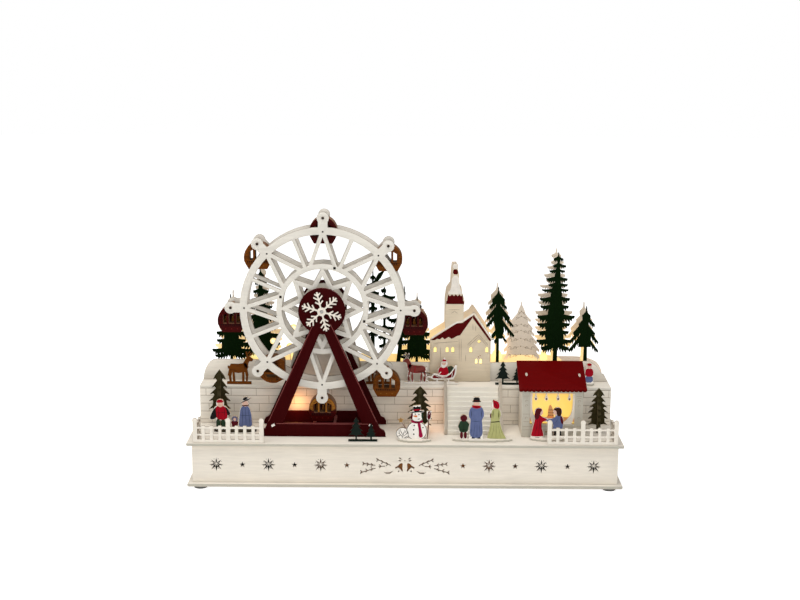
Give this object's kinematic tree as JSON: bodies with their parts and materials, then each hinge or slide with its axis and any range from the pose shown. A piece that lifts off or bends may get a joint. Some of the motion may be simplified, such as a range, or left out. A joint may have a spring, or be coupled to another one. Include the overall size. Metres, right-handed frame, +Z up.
{
  "type": "wooden ferris wheel scene",
  "caption": "Lit plywood winter scene with a motor-driven ferris wheel between two A-frames, a church, trees, stall, stairs and figures on a box base.",
  "frame": {"origin": "middle of the base on the surface it stands on", "axes": "+Z up, -Y the decorated front, +X to the right seen from the front"},
  "size_m": [0.45, 0.14, 0.2849],
  "materials": {
    "painted_white_wood": "off-white paint on 3 mm plywood, satin, edges slightly warmer",
    "maroon_wood": "deep maroon paint, satin gloss",
    "red_wood": "dark red paint, satin",
    "gondola_red": "dark red stain over visible grain",
    "gondola_brown": "orange-brown stain over visible grain",
    "spruce_green": "dark green paint",
    "brown_green_wood": "brown-green stain",
    "slate_green": "slate green paint",
    "deer_brown": "brown stain with burnt lines",
    "painted_figures": "figures painted by hand in many colours",
    "silver_plastic": "silver-grey round foot",
    "steel": "plain steel",
    "dark_plastic": "black moulded plastic",
    "lamp_plastic": "warm white lamps on a thin strip"
  },
  "bodies": {
    "base": {"deck_board": "painted_white_wood", "bottom_board": "painted_white_wood", "front_panel": "painted_white_wood", "rear_panel": "painted_white_wood", "left_panel": "painted_white_wood", "right_panel": "painted_white_wood", "terrace_wall": "painted_white_wood", "terrace_end_left": "painted_white_wood", "terrace_end_right": "painted_white_wood", "terrace_board": "painted_white_wood", "stair_flight": "painted_white_wood", "stair_rail_left": "painted_white_wood", "stair_rail_right": "painted_white_wood", "drive_housing": "painted_white_wood", "fence_left": "painted_white_wood", "fence_right": "painted_white_wood", "hill": "painted_white_wood", "church": "painted_white_wood", "back_scene": "painted_white_wood", "stall_body": "painted_white_wood", "foot_front_left": "silver_plastic", "foot_front_right": "silver_plastic", "foot_rear_left": "silver_plastic", "foot_rear_right": "silver_plastic", "battery_case": "dark_plastic", "frame_front": "maroon_wood", "frame_rear": "maroon_wood", "gear_motor": "steel", "spruces_left": "spruce_green", "spruces_middle": "spruce_green", "spruces_right": "spruce_green", "slot_tree_left": "brown_green_wood", "slot_tree_middle": "brown_green_wood", "slot_tree_right": "brown_green_wood", "twin_trees_front": "slate_green", "twin_trees_terrace": "slate_green", "deer_left": "deer_brown", "deer_right": "deer_brown", "stall_roof": "red_wood", "sleigh_group": "painted_figures", "snowman": "painted_figures", "family_left": "painted_figures", "family_centre": "painted_figures", "couple_right": "painted_figures", "visitor": "painted_figures", "led_strip": "lamp_plastic"},
    "wheel": {"wheel_front": "painted_white_wood", "wheel_rear": "painted_white_wood", "axle": "steel", "snowflake": "painted_white_wood"},
    "switch": {"switch_slider": "dark_plastic"},
    "lid": {"battery_lid": "dark_plastic"},
    "gondola_1": {"gondola_1": "gondola_red"},
    "gondola_2": {"gondola_2": "gondola_brown"},
    "gondola_3": {"gondola_3": "gondola_red"},
    "gondola_4": {"gondola_4": "gondola_brown"},
    "gondola_5": {"gondola_5": "gondola_red"},
    "gondola_6": {"gondola_6": "gondola_brown"},
    "gondola_7": {"gondola_7": "gondola_red"},
    "gondola_8": {"gondola_8": "gondola_brown"}
  },
  "joints": [
    {"name": "wheel_spin", "type": "hinge", "parent": "base", "child": "wheel", "pos_m": [-0.086, -0.0226, 0.184], "axis": [0, 1, 0], "continuous": true},
    {"name": "gondola_1_swing", "type": "hinge", "parent": "wheel", "child": "gondola_1", "pos_m": [-0.08501, -0.0226, 0.27879], "axis": [0, 1, 0], "continuous": true},
    {"name": "gondola_2_swing", "type": "hinge", "parent": "wheel", "child": "gondola_2", "pos_m": [-0.15233, -0.0226, 0.25173], "axis": [0, 1, 0], "continuous": true},
    {"name": "gondola_3_swing", "type": "hinge", "parent": "wheel", "child": "gondola_3", "pos_m": [-0.18079, -0.0226, 0.18499], "axis": [0, 1, 0], "continuous": true},
    {"name": "gondola_4_swing", "type": "hinge", "parent": "wheel", "child": "gondola_4", "pos_m": [-0.15373, -0.0226, 0.11767], "axis": [0, 1, 0], "continuous": true},
    {"name": "gondola_5_swing", "type": "hinge", "parent": "wheel", "child": "gondola_5", "pos_m": [-0.08699, -0.0226, 0.08921], "axis": [0, 1, 0], "continuous": true},
    {"name": "gondola_6_swing", "type": "hinge", "parent": "wheel", "child": "gondola_6", "pos_m": [-0.01967, -0.0226, 0.11627], "axis": [0, 1, 0], "continuous": true},
    {"name": "gondola_7_swing", "type": "hinge", "parent": "wheel", "child": "gondola_7", "pos_m": [0.00879, -0.0226, 0.18301], "axis": [0, 1, 0], "continuous": true},
    {"name": "gondola_8_swing", "type": "hinge", "parent": "wheel", "child": "gondola_8", "pos_m": [-0.01827, -0.0226, 0.25033], "axis": [0, 1, 0], "continuous": true},
    {"name": "switch_slide", "type": "slide", "parent": "base", "child": "switch", "axis": [1, 0, 0], "range_m": [0, 0.005]},
    {"name": "lid_slide", "type": "slide", "parent": "base", "child": "lid", "axis": [1, 0, 0], "range_m": [0, 0.012]}
  ],
  "couplings": [
    {"joint": "gondola_1_swing", "follows": "wheel_spin", "ratio": -1},
    {"joint": "gondola_2_swing", "follows": "wheel_spin", "ratio": -1},
    {"joint": "gondola_3_swing", "follows": "wheel_spin", "ratio": -1},
    {"joint": "gondola_4_swing", "follows": "wheel_spin", "ratio": -1},
    {"joint": "gondola_5_swing", "follows": "wheel_spin", "ratio": -1},
    {"joint": "gondola_6_swing", "follows": "wheel_spin", "ratio": -1},
    {"joint": "gondola_7_swing", "follows": "wheel_spin", "ratio": -1},
    {"joint": "gondola_8_swing", "follows": "wheel_spin", "ratio": -1}
  ]
}
